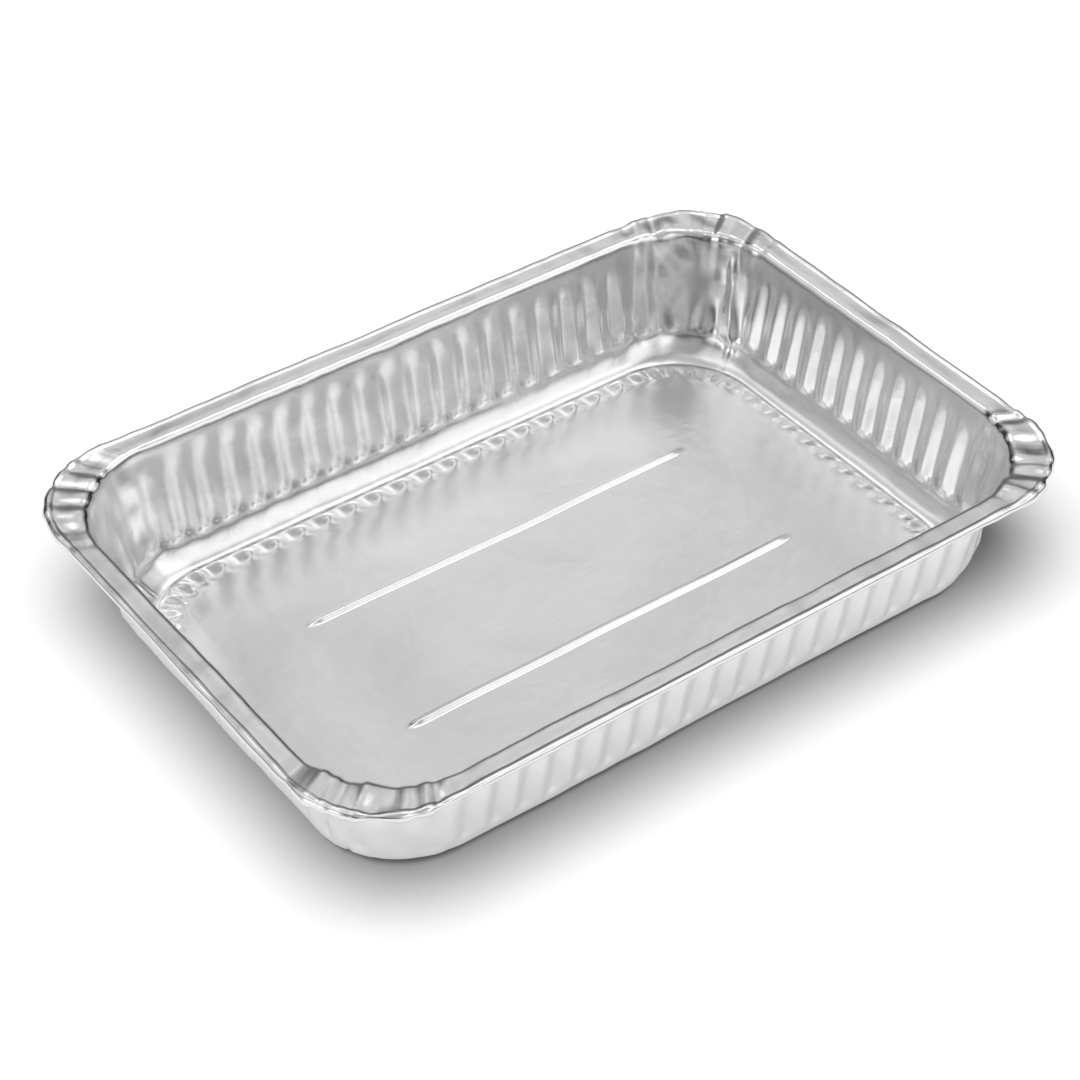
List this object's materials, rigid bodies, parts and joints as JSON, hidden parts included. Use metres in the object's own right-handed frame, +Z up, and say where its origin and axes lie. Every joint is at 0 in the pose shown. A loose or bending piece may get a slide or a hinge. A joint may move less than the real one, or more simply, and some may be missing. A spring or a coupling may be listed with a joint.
{
  "type": "foil tray",
  "caption": "Shallow rectangular tray pressed from aluminium foil, with a rolled edge, a flat flange, fluted walls, a raised floor panel and long stiffening ribs.",
  "frame": {"origin": "on the surface that the tray stands on, under the tray's centre", "axes": "+X along the tray's length, +Y across it, +Z up, out of the open top"},
  "size_m": [0.325, 0.226, 0.0535],
  "materials": {
    "bare_foil": "bright rolled foil, fine rolling grain, lightly wrinkled"
  },
  "bodies": {
    "root": {"foil_tray": "bare_foil"}
  },
  "joints": []
}
